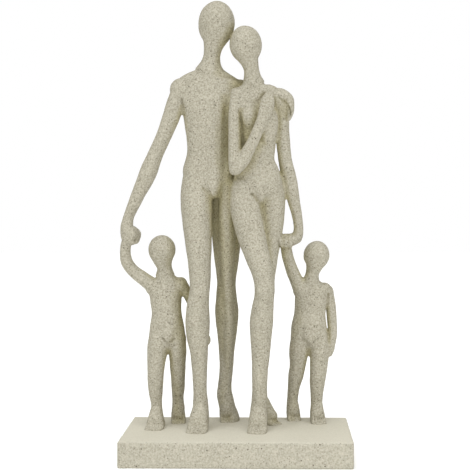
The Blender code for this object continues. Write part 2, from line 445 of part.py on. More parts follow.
def figures_casting(material):
    """The four figures as one skin, creased, thinned to facets and cut flat under the soles."""
    bm = bmesh.new()
    for pose in (man, woman, left_child, right_child):
        pose(bm)
    skin = fused(bm)
    for reach, depth, *path in CREASES:
        press(skin, reach, depth, *path)
    casting = place_object(skin, "family_figures", material)
    casting.location.z = PLINTH_HEIGHT
    facets = sum(len(face.vertices) - 2 for face in skin.polygons)
    thin = casting.modifiers.new("thin", "DECIMATE")
    thin.ratio = min(1.0, SKIN_FACETS / facets)
    thin.use_collapse_triangulate = True

    cut = casting.modifiers.new("soles", "BOOLEAN")
    cut.operation = "DIFFERENCE"
    cut.object = sole_cutter()
    return casting


def sole_cutter():
    """A guide block that reaches from under the plinth up to the bed of the soles."""
    bm = bmesh.new()
    below = PLINTH_HEIGHT
    top = PLINTH_HEIGHT + SOLE_BED
    size = Matrix.Diagonal((GROUP_HEIGHT, GROUP_HEIGHT, top + below, 1.0))
    bmesh.ops.create_cube(bm, size=1.0, matrix=Matrix.Translation((0, 0, (top - below) / 2)) @ size)
    cutter = place_object(mesh_from(bm, "sole_cutter"), "sole_cutter")
    cutter.hide_render = True
    cutter.display_type = "WIRE"
    return cutter


def plinth(material):
    bm = bmesh.new()
    size = Matrix.Diagonal((PLINTH_LENGTH, PLINTH_DEPTH, PLINTH_HEIGHT, 1.0))
    place = Matrix.Translation((0, 0, PLINTH_HEIGHT / 2))
    bmesh.ops.create_cube(bm, size=1.0, matrix=place @ size)
    block = place_object(mesh_from(bm, "plinth"), "plinth", material)
    edges = block.modifiers.new("edges", "BEVEL")
    edges.width = PLINTH_EDGE_ROUND
    edges.segments = 2
    edges.limit_method = "ANGLE"
    return block


def main():
    clear_scene()
    material = stone_material("cast_stone", STONE)
    plinth(material)
    casting = figures_casting(material)
    casting.data.shade_smooth()


main()
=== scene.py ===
"""The family group as it looks: a slender couple and two small children, cast as one in stone-filled
resin with a sandy finish, on a low plinth of the same stone. Metres, in the frame of the CAD model.
"""

import math

import bmesh
import bpy
import numpy as np
from mathutils import Matrix, Vector, noise
from mathutils.bvhtree import BVHTree


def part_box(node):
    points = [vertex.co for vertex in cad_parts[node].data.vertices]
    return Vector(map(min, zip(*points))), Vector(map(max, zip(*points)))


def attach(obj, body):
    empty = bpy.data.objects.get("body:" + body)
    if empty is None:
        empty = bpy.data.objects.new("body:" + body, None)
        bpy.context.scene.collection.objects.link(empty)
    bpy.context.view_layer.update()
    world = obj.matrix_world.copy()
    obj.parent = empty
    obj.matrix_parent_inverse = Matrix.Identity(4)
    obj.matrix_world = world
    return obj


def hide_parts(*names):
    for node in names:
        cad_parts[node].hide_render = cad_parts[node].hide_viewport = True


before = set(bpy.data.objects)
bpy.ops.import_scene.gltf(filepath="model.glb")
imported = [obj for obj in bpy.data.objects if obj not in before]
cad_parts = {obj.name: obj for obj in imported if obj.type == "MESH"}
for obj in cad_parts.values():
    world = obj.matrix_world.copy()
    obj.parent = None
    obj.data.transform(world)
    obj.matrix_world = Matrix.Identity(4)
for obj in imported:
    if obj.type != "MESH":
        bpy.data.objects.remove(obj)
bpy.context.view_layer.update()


# Plinth
# A low rectangular block, cast in an open mould from stone-filled resin, so that its edges are softly
# rounded and a little uneven. The figures stand on it and it rests on its flat underside.

# Side of the block's small faces, radius of its edges and how much that varies, and how far the open
# faces are off true. The underside, up to UNDERSIDE, is flat.
PLINTH_CELL = 0.0014
PLINTH_EDGE = 0.0016
EDGE_VARIES = 0.45
PLINTH_UNEVEN = 0.00022
UNDERSIDE = 0.0001
PLINTH_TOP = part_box("plinth")[1].z

# Ripples to the metre along the edges, with the share of each kind, and on the faces.
EDGE_RIPPLES = ((160, 0.6), (420, 0.4))
FACE_RIPPLES = 95
FACE_RIPPLES_FROM = (7, 1, 3)

# Colours of the sand and the grit, of painted light on faces that look up, and of painted shade in the
# creases and in the recesses.
PLINTH_LIGHT = (0.520, 0.490, 0.400)
PLINTH_DARK = (0.350, 0.328, 0.258)
GRIT_BROWN = (0.085, 0.070, 0.045)
GRIT_GREY = (0.150, 0.132, 0.092)
SAND_PALE = (0.660, 0.630, 0.530)
PAINTED_TOP_LIGHT = (0.632, 0.602, 0.500)
PAINTED_CREASE_SHADE = (0.165, 0.148, 0.096)
PAINTED_RECESS_SHADE = (0.96, 0.93, 0.71)

# Mottling: how wide its patches are, how much finer detail they hold and how strongly they show.
WIDE_PATCH, WIDE_DETAIL, WIDE_SHARE = 0.026, 3.0, 0.4
FINE_PATCH, FINE_DETAIL, FINE_SHARE = 0.0012, 2.5, 2.6
MOTTLE_OFFSET = 1.0

# Grains: how far apart they lie, their radius, and how soft their edges are.
PALE_SPACING, PALE_RADIUS, PALE_SHARE, PALE_STRENGTH = 0.0021, 0.0004, 0.5, 0.4
GREY_SPACING, GREY_RADIUS, GREY_LEAST = 0.0018, 0.0004, 0.15
BROWN_SPACING, BROWN_RADIUS = 0.0042, 0.0005
GRAIN_SOFTNESS = 0.35

# How much of the plinth's sand is grit, and how strongly painted light lightens the faces that look up
# this steeply.
PLINTH_GRIT = 0.5
PLINTH_PAINTED_TOP_LIGHT = 0.7
UPWARD_FROM = 0.5

# Surface: how matt it is, and its relief, in which pale grains stand proud and brown ones are pits.
MATT_PATCH, MATT_DETAIL, MATT_LEAST, MATT_MOST = 0.0016, 1.0, 0.78, 0.97
SHEEN = 0.3
RELIEF_PATCH, RELIEF_DETAIL = 0.0014, 2.0
PALE_PROUD, BROWN_PIT = 0.3, 0.9
RELIEF_STRENGTH, RELIEF_DEPTH = 0.6, 0.0004


class StoneMix:
    """The recipe of one stone finish: it adds nodes to the material and wires them up."""

    def __init__(self, material):
        self.nodes = material.node_tree.nodes
        self.links = material.node_tree.links
        where = self.add("ShaderNodeTexCoord")
        self.place = where.outputs["Object"]
        self.facing = where.outputs["Normal"]

    def add(self, kind, **settings):
        node = self.nodes.new(kind)
        for name, value in settings.items():
            setattr(node, name, value)
        return node

    def feed(self, socket, value):
        if isinstance(value, bpy.types.NodeSocket):
            self.links.new(value, socket)
        else:
            socket.default_value = value

    def reckon(self, operation, one, two, clamp=False):
        node = self.add("ShaderNodeMath", operation=operation, use_clamp=clamp)
        self.feed(node.inputs[0], one)
        self.feed(node.inputs[1], two)
        return node.outputs[0]

    def mottle(self, size, detail):
        """Soft noise from 0 to 1 whose patches are about size across."""
        node = self.add("ShaderNodeTexNoise")
        self.feed(node.inputs["Vector"], self.place)
        node.inputs["Scale"].default_value = 1 / size
        node.inputs["Detail"].default_value = detail
        return node.outputs["Fac"]

    def grains(self, spacing, radius, share):
        """Round grains of the given radius, one in each cell of the spacing for a share of the cells.
        It gives 1 inside a grain and 0 outside, and a random number for each grain."""
        node = self.add("ShaderNodeTexVoronoi")
        self.feed(node.inputs["Vector"], self.place)
        node.inputs["Scale"].default_value = 1 / spacing
        shape = self.add("ShaderNodeMapRange", interpolation_type="SMOOTHSTEP")
        self.feed(shape.inputs["Value"], node.outputs["Distance"])
        shape.inputs["From Min"].default_value = radius / spacing * (1 + GRAIN_SOFTNESS)
        shape.inputs["From Max"].default_value = radius / spacing * (1 - GRAIN_SOFTNESS)
        split = self.add("ShaderNodeSeparateColor")
        self.feed(split.inputs["Color"], node.outputs["Color"])
        chosen = self.reckon("LESS_THAN", split.outputs[0], share)
        return self.reckon("MULTIPLY", shape.outputs["Result"], chosen), split.outputs[1]

    def tint(self, amount, one, two, blend="MIX"):
        node = self.add("ShaderNodeMix", data_type="RGBA", blend_type=blend)
        self.feed(node.inputs["Factor"], amount)
        self.feed(node.inputs["A"], (*one, 1.0) if isinstance(one, tuple) else one)
        self.feed(node.inputs["B"], (*two, 1.0) if isinstance(two, tuple) else two)
        return node.outputs["Result"]


def sandy_stone(name, light, dark, grit_share, top_light_share=0.0):
    """Cast stone finish: sand-coloured resin, finely mottled from dark to light, with pale sand, grey grit
    and brown pits. grit_share is how many of the cells hold a grain of grit. The last argument is how
    strongly painted light lightens the faces that look up. A piece gets painted shade, darker in its
    narrow creases and olive in its recesses, by the amounts that its mesh holds."""
    made = bpy.data.materials.new(name)
    made.use_nodes = True
    mix = StoneMix(made)
    shader = mix.nodes["Principled BSDF"]
    wide = mix.reckon("MULTIPLY", mix.mottle(WIDE_PATCH, WIDE_DETAIL), WIDE_SHARE)
    fine = mix.reckon("MULTIPLY", mix.mottle(FINE_PATCH, FINE_DETAIL), FINE_SHARE)
    tone = mix.reckon("SUBTRACT", mix.reckon("ADD", wide, fine), MOTTLE_OFFSET, clamp=True)
    colour = mix.tint(tone, dark, light)
    pale, _ = mix.grains(PALE_SPACING, PALE_RADIUS, PALE_SHARE)
    colour = mix.tint(mix.reckon("MULTIPLY", pale, PALE_STRENGTH), colour, SAND_PALE)
    grey, grey_chance = mix.grains(GREY_SPACING, GREY_RADIUS, grit_share)
    grey_strength = mix.reckon("ADD", grey_chance, GREY_LEAST, clamp=True)
    colour = mix.tint(mix.reckon("MULTIPLY", grey, grey_strength), colour, GRIT_GREY)
    brown, brown_chance = mix.grains(BROWN_SPACING, BROWN_RADIUS, grit_share)
    colour = mix.tint(mix.reckon("MULTIPLY", brown, brown_chance), colour, GRIT_BROWN)
    split = mix.add("ShaderNodeSeparateXYZ")
    mix.feed(split.inputs["Vector"], mix.facing)
    # Painted light: the faces that look up are lightened towards a paler colour.
    upward = mix.reckon("SUBTRACT", split.outputs["Z"], UPWARD_FROM, clamp=True)
    upward = mix.reckon("MULTIPLY", upward, top_light_share / (1 - UPWARD_FROM))
    colour = mix.tint(upward, colour, PAINTED_TOP_LIGHT)
    # Painted shade: the recesses are tinted darker and olive by the amount that the mesh holds.
    recess_shade = mix.add("ShaderNodeAttribute", attribute_name="recess_shade")
    colour = mix.tint(recess_shade.outputs["Fac"], colour, PAINTED_RECESS_SHADE, blend="MULTIPLY")
    # Painted shade: the narrow creases are darkened by the amount that the mesh holds.
    crease_shade = mix.add("ShaderNodeAttribute", attribute_name="crease_shade")
    colour = mix.tint(crease_shade.outputs["Fac"], colour, PAINTED_CREASE_SHADE)
    mix.feed(shader.inputs["Base Color"], colour)

    rough = mix.add("ShaderNodeMapRange")
    mix.feed(rough.inputs["Value"], mix.mottle(MATT_PATCH, MATT_DETAIL))
    rough.inputs["To Min"].default_value = MATT_LEAST
    rough.inputs["To Max"].default_value = MATT_MOST
    mix.feed(shader.inputs["Roughness"], rough.outputs["Result"])
    shader.inputs["Specular IOR Level"].default_value = SHEEN

    height = mix.mottle(RELIEF_PATCH, RELIEF_DETAIL)
    height = mix.reckon("ADD", height, mix.reckon("MULTIPLY", pale, PALE_PROUD))
    height = mix.reckon("SUBTRACT", height, mix.reckon("MULTIPLY", brown, BROWN_PIT))
    bump = mix.add("ShaderNodeBump")
    bump.inputs["Strength"].default_value = RELIEF_STRENGTH
    bump.inputs["Distance"].default_value = RELIEF_DEPTH
    mix.feed(bump.inputs["Height"], height)
    mix.feed(shader.inputs["Normal"], bump.outputs["Normal"])
    return made


def moulded_block(low, high, cell, edge, uneven):
    """A box of small faces whose edges are rounded unevenly, all of it inside low and high."""
    size = high - low
    half = size / 2
    centre = (low + high) / 2
    steps = [round(side / cell) for side in size]
    bm = bmesh.new()
    corners = {}

    def vertex(*index):
        if index not in corners:
            spot = Vector([-h + 2 * h * i / n for h, i, n in zip(half, index, steps)])
            corners[index] = bm.verts.new(spot)
        return corners[index]

    for axis in range(3):
        one, two = [other for other in range(3) if other != axis]
        for end in (0, steps[axis]):
            for i in range(steps[one]):
                for j in range(steps[two]):
                    ring = []
                    for di, dj in ((0, 0), (1, 0), (1, 1), (0, 1)):
                        index = [0, 0, 0]
                        index[axis], index[one], index[two] = end, i + di, j + dj
                        ring.append(vertex(*index))
                    bm.faces.new(ring)
    for vert in bm.verts:
        spot = vert.co.copy()
        ripple = sum(noise.noise(spot * often) * share for often, share in EDGE_RIPPLES)
        edge_here = edge * (1 + EDGE_VARIES * ripple)
        inner = Vector([min(max(c, -h + edge_here), h - edge_here) for c, h in zip(spot, half)])
        out = spot - inner
        if out.length > 0:
            out.normalize()
            vert.co = inner + out * edge_here
        if spot.z > -half.z + UNDERSIDE:
            ripple = noise.noise(spot * FACE_RIPPLES + Vector(FACE_RIPPLES_FROM))
            sink = uneven * (0.5 + 0.5 * ripple)
            vert.co -= out * sink
        else:
            vert.co.z = -half.z
    bmesh.ops.recalc_face_normals(bm, faces=bm.faces)
    bmesh.ops.translate(bm, verts=bm.verts, vec=centre)
    return bm


plinth_mesh = bpy.data.meshes.new("plinth_block")
block = moulded_block(*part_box("plinth"), PLINTH_CELL, PLINTH_EDGE, PLINTH_UNEVEN)
block.to_mesh(plinth_mesh)
block.free()
plinth_mesh.shade_smooth()
plinth_block = bpy.data.objects.new("plinth_block", plinth_mesh)
plinth_stone = sandy_stone("sandy_stone_plinth", PLINTH_LIGHT, PLINTH_DARK, PLINTH_GRIT, PLINTH_PAINTED_TOP_LIGHT)
plinth_mesh.materials.append(plinth_stone)
bpy.context.scene.collection.objects.link(plinth_block)
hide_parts("plinth")
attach(plinth_block, "root")


# The four figures
# One casting in the same stone-filled resin, solid, from a modelled original: the limbs run into each
# other, and the couple, the hands and the child's arm round the leg are one with what they touch. The
# soles are bedded on the plinth with adhesive. The pose is in millimetres from the plinth's top.

MM = 0.001

# The limbs' rings and the lumps of clay, in sides, millimetres and rows.
RING_SIDES = 20
RING_STEP = 2.0
LUMP_COLUMNS = 24
LUMP_ROWS = 14

# The skin: the cell that the limbs are fused in, how often it is smoothed and its triangles. The soles
# are cut flat a little below the plinth's top.
SKIN_VOXEL = 0.0006
SKIN_SMOOTHING = 6
SKIN_TRIANGLES = 190000
SOLE_SINK = 0.0003

# Lumps that the hand left, to the metre, with their height, and what is sanded off all over.
HAND_LUMPS = ((110, 0.00022), (330, 0.00009))
SANDED_OFF = 0.00012

# The stone's colours and how many cells of it hold grit. Creases wider than BROAD get no painted shade.
STONE_LIGHT = (0.510, 0.478, 0.386)
STONE_DARK = (0.300, 0.278, 0.212)
STONE_GRIT = 0.75
BROAD = 1.8

# The painted shade in the recesses: how far off the casting still shelters a place, how many ways a place
# looks out and how close to its skin, the shelter that starts it and that makes it full, how often it is
# evened out, and the turn from one way to the next.
SHELTER_REACH = 0.035
SHELTER_WAYS = 40
SHELTER_SLANT = 0.2
SHELTER_LEAST = 0.2
SHELTER_MOST = 0.62
SHADE_EASING = 6
GOLDEN_TURN = math.pi * (3 - math.sqrt(5))

# Angles of the rings that round off the end of a limb.
END_TURNS = (0.5, 1.0, 1.35)

# A foot: how far from heel to toe its heel, arch, ball and tip lie, and their half width and half
# thickness in shares of the half width across the toes. The sole's half thickness is in the same shares.
HEEL_AT, HEEL_WIDE, HEEL_THICK, HEEL_SOLE = 0.12, 0.62, 0.55, 0.66
ARCH_AT, ARCH_WIDE, ARCH_SOLE = 0.4, 0.72, 0.6
BALL_AT, BALL_WIDE, BALL_THICK, BALL_SOLE = 0.72, 0.96, 0.44, 0.38
TIP_AT, TIP_WIDE, TIP_THICK, TIP_SOLE = 0.95, 0.86, 0.26, 0.25
HEEL_RISE, BALL_RISE, TIP_RISE = 1.0, 1.2, 0.2
INSTEP_AT = 0.58
TAPER = 0.85


def through(stations):
    """Stations between the given ones, on a Catmull-Rom curve, about RING_STEP apart."""
    first = [2 * a - b for a, b in zip(stations[0], stations[1])]
    last = [2 * a - b for a, b in zip(stations[-1], stations[-2])]
    padded = [first, *stations, last]
    curve = []
    for i in range(1, len(padded) - 2):
        before, here, there, after = padded[i - 1:i + 3]
        steps = max(2, round(math.dist(here[:3], there[:3]) / RING_STEP))
        for k in range(steps):
            t = k / steps
            curve.append([
                0.5 * (2 * b + (c - a) * t + (2 * a - 5 * b + 4 * c - d) * t ** 2
                       + (3 * b - a - 3 * c + d) * t ** 3)
                for a, b, c, d in zip(before, here, there, after)
            ])
    curve.append(list(stations[-1]))
    return curve


def ring(bm, centre, wide, deep):
    """One oval ring round centre, whose half axes are the vectors wide and deep."""
    turns = (2 * math.pi * k / RING_SIDES for k in range(RING_SIDES))
    return [bm.verts.new((centre + wide * math.cos(a) + deep * math.sin(a)) * MM) for a in turns]


def limb(bm, *stations, upright=(0, 1, 0)):
    """A closed tube with round ends. A station is x, y, z, half width, half depth, and the depth is
    measured along the direction upright."""
    curve = through(stations)
    rings = []
    for i, (*place, width, depth) in enumerate(curve):
        along = Vector(curve[min(i + 1, len(curve) - 1)][:3]) - Vector(curve[max(i - 1, 0)][:3])
        along.normalize()
        deep = Vector(upright)
        deep = (deep - along * deep.dot(along)).normalized()
        wide = deep.cross(along)
        ends = []
        if i in (0, len(curve) - 1):
            outward = along if i else -along
            dome = min(width, depth)
            ends = [(math.cos(a), outward * dome * math.sin(a)) for a in END_TURNS]
        cuts = [(1.0, Vector((0, 0, 0))), *ends]
        if i == 0:
            cuts.reverse()
        for scale, shift in cuts:
            rings.append(ring(bm, Vector(place) + shift, wide * width * scale, deep * depth * scale))
    for one, two in zip(rings, rings[1:]):
        for k in range(RING_SIDES):
            after = (k + 1) % RING_SIDES
            bm.faces.new((one[k], one[after], two[after], two[k]))
    bm.faces.new(list(reversed(rings[0])))
    bm.faces.new(rings[-1])


def lump(bm, place, radii, lean=0.0):
    """An ellipsoid, which leans clockwise in the picture plane by lean."""
    spot = Matrix.Translation(Vector(place) * MM)
    spin = Matrix.Rotation(math.radians(lean), 4, "Y")
    size = Matrix.Diagonal((*(Vector(radii) * MM), 1.0))
    bmesh.ops.create_uvsphere(bm, u_segments=LUMP_COLUMNS, v_segments=LUMP_ROWS, radius=1.0,
                              matrix=spot @ spin @ size)


feet = []


def foot(bm, ankle, heel, toe, width):
    """A foot under the ankle (x, y, z, half width, half depth), from heel to toe, each (x, y) on the
    plinth. width is half the width across the toes. What is below the plinth's top is cut off later, and
    feet keeps where the foot is."""
    shin = Vector(ankle[:3])
    narrow, thick = ankle[3:]
    heel, toe = Vector((*heel, 0)), Vector((*toe, 0))
    feet.append((heel, toe, width))
    back, arch, ball, tip = (heel.lerp(toe, share) for share in (HEEL_AT, ARCH_AT, BALL_AT, TIP_AT))
    instep = shin.lerp(ball, INSTEP_AT)
    instep.z = shin.z / 2
    ahead = (toe - heel).normalized()
    # From the shin over the instep to the toes.
    limb(bm, (*shin, narrow, thick), (*instep, (narrow + width) / 2, thick * TAPER),
         (ball.x, ball.y, BALL_RISE, BALL_WIDE * width, BALL_THICK * width),
         (tip.x, tip.y, TIP_RISE, TIP_WIDE * width, TIP_THICK * width), upright=(ahead.x, ahead.y, 1))
    # From the shin down to the heel.
    limb(bm, (*shin, narrow, thick * TAPER), (*shin.lerp(back, 0.5), narrow, thick * TAPER),
         (back.x, back.y, HEEL_RISE, HEEL_WIDE * width, HEEL_THICK * width),
         upright=(ahead.x, ahead.y, 0))
    # The sole.
    limb(bm, (*back, HEEL_WIDE * width, HEEL_SOLE * width), (*arch, ARCH_WIDE * width, ARCH_SOLE * width),
         (*ball, BALL_WIDE * width, BALL_SOLE * width), (*tip, TIP_WIDE * width, TIP_SOLE * width),
         upright=(0, 0, 1))


def man(bm):
    # Head, which leans towards the woman's, and the neck.
    lump(bm, (-16.1, 9, 302.8), (13.9, 15.2, 17.2), lean=4)
    limb(bm, (-16.1, 9, 302.5, 13.7, 15), (-16.3, 9, 298, 13.1, 14.5),
         (-17.1, 9.1, 292.6, 10.5, 12.6), (-18.1, 9.4, 288.2, 8.2, 10.4), (-19, 10, 284, 6.9, 8.8),
         (-19.8, 11, 279, 6.5, 7.8), (-20.5, 11.5, 274.4, 7.6, 8.4), (-21.4, 12, 268.6, 11.2, 9))
    # Shoulder girdle, chest, waist and pelvis.
    limb(bm, (-21.5, 13, 268, 11.2, 6.6), (-21.8, 12.8, 264.3, 18.8, 7.4), (-22, 12, 260.6, 23.8, 9.6),
         (-22, 12, 256, 26, 10.4), (-22, 11.5, 247, 23.3, 12.2), (-22.4, 11.5, 236, 19.8, 12.4),
         (-22.6, 12, 226, 17.7, 11.3), (-22.2, 12.5, 209, 16.6, 10), (-22.6, 12.5, 195, 19.2, 10.8),
         (-23.6, 12.8, 188.5, 19, 11))
    limb(bm, (-15, 11.5, 267.2, 4, 5), (-7, 12, 261.4, 4.2, 5.2), (2, 13.5, 256, 4.5, 5.5))
    for side in (-1, 1):
        lump(bm, (-22 + side * 9.8, 5.3, 246.5), (11.2, 4.6, 10), lean=side * 12)
        lump(bm, (-21 + side * 11, 19.6, 247), (9.5, 4.2, 13), lean=-side * 10)
    lump(bm, (-31, 19.2, 177.5), (11.4, 8, 13.5))
    lump(bm, (-9.6, 22.2, 179), (11.8, 8.4, 16), lean=-6)
    limb(bm, (-20.4, 4.2, 260.6, 1.6, 1.6), (-34, 4.8, 261.4, 1.7, 1.7), (-46, 9.6, 259.4, 1.8, 1.8))
    limb(bm, (-20.4, 4.2, 260.6, 1.6, 1.6), (-8, 5, 260.4, 1.7, 1.7), (2, 9.6, 257.8, 1.8, 1.8))
    # Lower belly, a wedge that runs down between the thighs.
    limb(bm, (-20, 12.5, 200, 14, 9.6), (-19.8, 12.2, 192, 13, 10.9), (-19.2, 12, 185.4, 10.2, 12),
         (-18.4, 12, 180, 7.2, 12), (-17.9, 12.4, 176.2, 3.8, 11))
    # Right leg, stepping forward, and its foot.
    limb(bm, (-29.8, 12, 194, 11, 10), (-31, 12, 184, 11.8, 11.2), (-31.6, 11.5, 174, 12.2, 13),
         (-31.1, 10, 162, 12, 13),
         (-29.9, 7.5, 141.5, 10.4, 11.8), (-28.8, 5, 122.5, 8.7, 10), (-28.3, 3.5, 109, 7.9, 9),
         (-28.9, 3.2, 101, 7.8, 8.4), (-30.1, 5, 91, 8.6, 9.2), (-30.5, 6.5, 79, 9.4, 10.2),
         (-30.3, 6.5, 68, 8.6, 9.4), (-29.4, 5.5, 56.5, 6.8, 7.6), (-28.9, 4.5, 42, 5.8, 6.4),
         (-28.5, 4, 27, 5.3, 6.2), (-28.1, 3.6, 17, 6, 6.8), (-28.3, 3, 9, 6.6, 7.4))
    lump(bm, (-28.4, -2.2, 105), (6.4, 3.4, 9))
    foot(bm, (-28.1, 3.4, 15, 6.1, 6.8), (-27.3, 11.5), (-30.8, -17), 8.6)
    # Left leg, behind, on a foot turned outward.
    limb(bm, (-12, 15.4, 200, 10, 7.4), (-10, 19.4, 190, 11.4, 8), (-9.6, 22.4, 181, 11.8, 8.4),
         (-9.8, 24.4, 171, 12, 8.6), (-9.9, 25.6, 155, 12, 8.6),
         (-9.7, 26, 142, 11.3, 8.8), (-9.6, 25.2, 124, 9.4, 9), (-9.7, 23.8, 109, 7.4, 8.4),
         (-9.9, 23.6, 101, 7.8, 8.2), (-9.6, 26.6, 86, 9.2, 9.4), (-9.6, 29, 74, 8.5, 9),
         (-9.9, 30.4, 58.5, 6.6, 7.4), (-10.2, 31, 42.5, 5.5, 6), (-11.4, 31.5, 28, 5.4, 6.2),
         (-11.7, 31.4, 20, 6.2, 6.8), (-10.4, 31, 14, 6.4, 7), (-9.2, 30.5, 9, 6.4, 7.4))
    limb(bm, (-7.4, 15.5, 182, 7.4, 9), (-8, 15.6, 170, 7.4, 9), (-8.6, 16.4, 154, 7, 8.6),
         (-8.8, 17.6, 138, 6.3, 7.8), (-8.9, 18.2, 120, 5.4, 7.4), (-8.8, 19, 106, 4.8, 7),
         (-8, 21, 92, 4.6, 7), (-7.6, 23.4, 76, 4.4, 7), (-8.2, 26, 60, 4, 6.6),
         (-9, 28.4, 44, 3.4, 5.6))
    lump(bm, (-9.7, 17.6, 104), (6, 3.4, 8.5))
    foot(bm, (-10, 31, 14.5, 5.8, 7), (-10.4, 38), (-8.7, 20.6), 6.2)
    limb(bm, (-10, 31, 19, 3.2, 6), (-7.7, 32, 11, 3.9, 7.2), (-5.6, 31.5, 4.6, 4.9, 8),
         (-5, 30.6, 0.6, 5.4, 8.6))
    # Right arm, out and down to the child's hand.
    lump(bm, (-43.3, 12, 254.2), (8.3, 9, 9), lean=20)
    limb(bm, (-44, 12, 252, 7.1, 8.4), (-47.4, 12, 243, 7, 8), (-51.4, 12, 231.5, 6.6, 7.4),
         (-57.3, 12, 217, 5.8, 6.8), (-63.3, 12, 204, 6, 6.4), (-67, 12, 194.5, 6.7, 6.6),
         (-71, 12, 185, 6.4, 6.2), (-75.5, 11.5, 176, 5.4, 5.4), (-79.5, 11, 166.5, 4.7, 4.7),
         (-82.8, 11, 158.5, 4.2, 4.4), (-84.2, 10.4, 151.5, 4.9, 5.2), (-83.6, 9.6, 146.5, 5.6, 6.4))
    lump(bm, (-81.6, 9, 144.4), (7.2, 7.4, 7.6), lean=-25)
    limb(bm, (-80.6, 14, 149.2, 2.8, 3), (-76.2, 12.6, 145.8, 2.8, 3.2), (-77.4, 10.4, 140.6, 2.7, 3))
    limb(bm, (-86, 7.6, 151.4, 2.4, 2.4), (-83.6, 3.2, 147.6, 2.4, 2.3), (-79.6, 3.6, 142.4, 2.2, 2.2))
    # Left arm, round the woman's back, with the hand over her far shoulder.
    lump(bm, (1, 15, 253.4), (8.6, 9, 9))
    limb(bm, (1.5, 15.5, 252, 7.4, 8), (9, 20, 246, 6.6, 6.6), (18, 22.5, 240.5, 6, 6),
         (27, 20.5, 241.4, 5.4, 5.2), (34, 15.6, 244.6, 4.8, 4.8), (36.6, 11, 246.4, 5, 5.4))
    limb(bm, (23.6, 9.6, 250.8, 4, 4.8), (28.2, 8.4, 250.8, 4.4, 5.4), (33.2, 6.8, 249.6, 4.6, 6.6),
         (37.3, 5, 246.2, 4.5, 7.2), (39, 3.6, 240.8, 3.3, 5.8), (39, 3, 236, 2.8, 4.6),
         (37.8, 3.4, 231.6, 1.8, 3.6))


